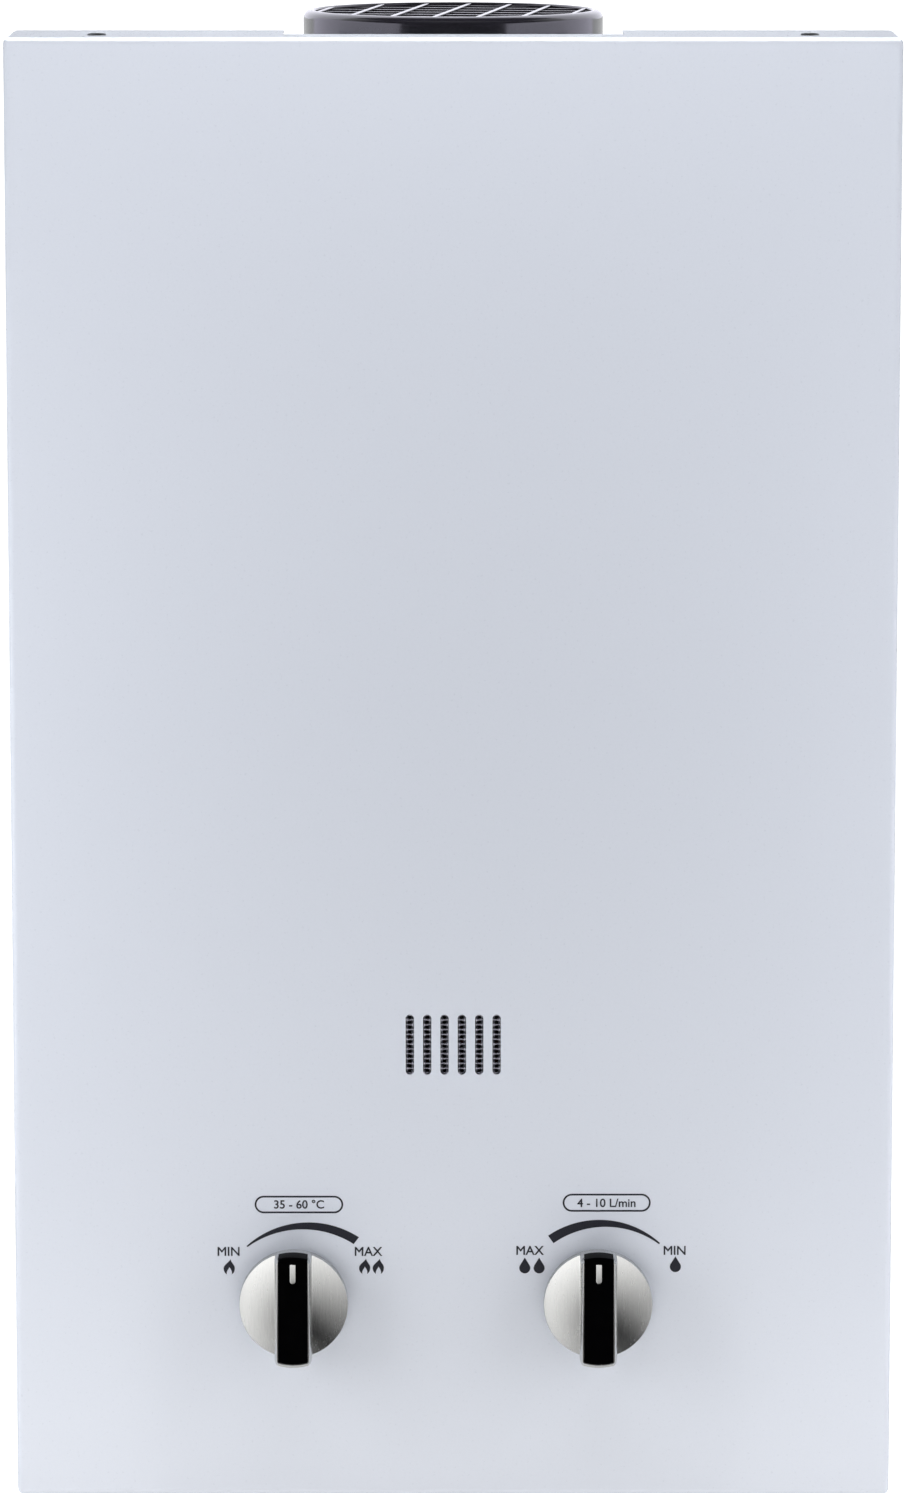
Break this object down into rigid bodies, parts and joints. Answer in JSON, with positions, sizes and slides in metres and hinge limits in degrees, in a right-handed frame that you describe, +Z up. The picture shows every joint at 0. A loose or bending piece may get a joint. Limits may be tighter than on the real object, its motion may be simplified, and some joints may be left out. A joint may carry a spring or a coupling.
{
  "type": "tankless gas water heater",
  "caption": "Wall-hung tankless gas water heater: white folded casing with a round flue collar, sight slots, gas and water knobs, burner, heat exchanger and valves inside.",
  "frame": {"origin": "middle of the wall face, on the outside of the casing's back", "axes": "+X to the right seen from the front, +Y from the front panel into the wall, +Z up"},
  "size_m": [0.33, 0.1799, 0.57],
  "materials": {
    "casing_white": "gloss white powder coat",
    "zinc_steel": "zinc plated",
    "mesh_steel": "dark steel mesh",
    "flue_black": "satin black",
    "aluminised_steel": "aluminised sheet",
    "gasket_fibre": "fibre sheet",
    "copper": "bare copper",
    "stainless": "stainless",
    "cast_aluminium": "die cast",
    "brass": "machined",
    "ceramic": "glazed",
    "rubber": "moulded",
    "black_plastic": "moulded",
    "red_silicone": "silicone sleeve",
    "cell_jacket": "plain jacket",
    "satin_nickel": "satin nickel plating on moulded plastic",
    "insert_black": "gloss black"
  },
  "bodies": {
    "casing": {"front_cover": "casing_white", "back_shell": "casing_white", "roof_panel": "casing_white", "floor_panel": "casing_white", "cover_screws": "zinc_steel", "chamber_brackets": "zinc_steel", "burner_frame": "zinc_steel", "valve_bridge": "zinc_steel", "diaphragm_screws": "zinc_steel", "plunger_spring": "zinc_steel", "nipple_nuts": "zinc_steel", "sight_mesh": "mesh_steel", "flue_collar": "flue_black", "flue_grille": "flue_black", "draft_hood": "aluminised_steel", "hood_gasket": "gasket_fibre", "nipple_washers": "gasket_fibre", "combustion_chamber": "copper", "exchanger_fins": "copper", "exchanger_tube": "copper", "coil_pipe": "copper", "hot_pipe": "copper", "burner_bars": "stainless", "inlet_filter": "stainless", "gas_manifold": "cast_aluminium", "gas_valve_body": "cast_aluminium", "spindle_bonnets": "cast_aluminium", "gas_jets": "brass", "plunger_guide": "brass", "gas_nipple": "brass", "water_valve_body": "brass", "diaphragm_cover": "brass", "cold_nipple": "brass", "drain_plug": "brass", "hot_nipple": "brass", "electrodes": "ceramic", "diaphragm": "rubber", "thermal_cutout": "black_plastic", "micro_switch": "black_plastic", "igniter_module": "black_plastic", "battery_box": "black_plastic", "module_leads": "black_plastic", "solenoid_valve": "black_plastic", "electrode_leads": "red_silicone", "battery_cells": "cell_jacket"},
    "gas_knob": {"gas_knob": "satin_nickel", "gas_knob_insert": "insert_black", "gas_knob_pointer": "satin_nickel", "gas_spindle": "brass"},
    "water_knob": {"water_knob": "satin_nickel", "water_knob_insert": "insert_black", "water_knob_pointer": "satin_nickel", "water_spindle": "brass"},
    "water_needle": {"water_needle": "stainless"},
    "push_rod": {"push_rod": "stainless"},
    "gas_plunger": {"gas_plunger": "brass"},
    "switch_lever": {"switch_lever": "stainless"},
    "solenoid_plunger": {"solenoid_plunger": "stainless"},
    "battery_lid": {"battery_lid": "black_plastic", "lid_springs": "stainless"}
  },
  "joints": [
    {"name": "gas_knob_turn", "type": "hinge", "parent": "casing", "child": "gas_knob", "pos_m": [-0.06, -0.16, -0.1995], "axis": [0, 1, 0], "range_deg": [-60, 60]},
    {"name": "water_knob_turn", "type": "hinge", "parent": "casing", "child": "water_knob", "pos_m": [0.0545, -0.16, -0.1995], "axis": [0, 1, 0], "range_deg": [-60, 60]},
    {"name": "water_needle_slide", "type": "slide", "parent": "water_knob", "child": "water_needle", "axis": [0, 1, 0], "range_m": [-0.001, 0.001]},
    {"name": "diaphragm_slide", "type": "slide", "parent": "casing", "child": "push_rod", "axis": [-1, 0, 0], "range_m": [0, 0.004], "stiffness_N_per_m": 300, "deforming": ["diaphragm"]},
    {"name": "gas_plunger_slide", "type": "slide", "parent": "casing", "child": "gas_plunger", "axis": [-1, 0, 0], "range_m": [0, 0.004], "deforming": ["plunger_spring"]},
    {"name": "switch_lever_turn", "type": "hinge", "parent": "casing", "child": "switch_lever", "pos_m": [-0.007, -0.08, -0.1865], "axis": [0, 1, 0], "range_deg": [0, 31]},
    {"name": "solenoid_slide", "type": "slide", "parent": "casing", "child": "solenoid_plunger", "axis": [-1, 0, 0], "range_m": [0, 0.003], "stiffness_N_per_m": 150},
    {"name": "battery_lid_turn", "type": "hinge", "parent": "casing", "child": "battery_lid", "pos_m": [-0.1241, -0.1374, -0.2696], "axis": [-1, 0, 0], "range_deg": [0, 90]}
  ],
  "couplings": [
    {"joint": "water_knob_turn", "follows": "water_needle_slide", "rad_per_m": 1047},
    {"joint": "gas_plunger_slide", "follows": "diaphragm_slide", "ratio": 1},
    {"joint": "switch_lever_turn", "follows": "diaphragm_slide", "rad_per_m": 130}
  ]
}
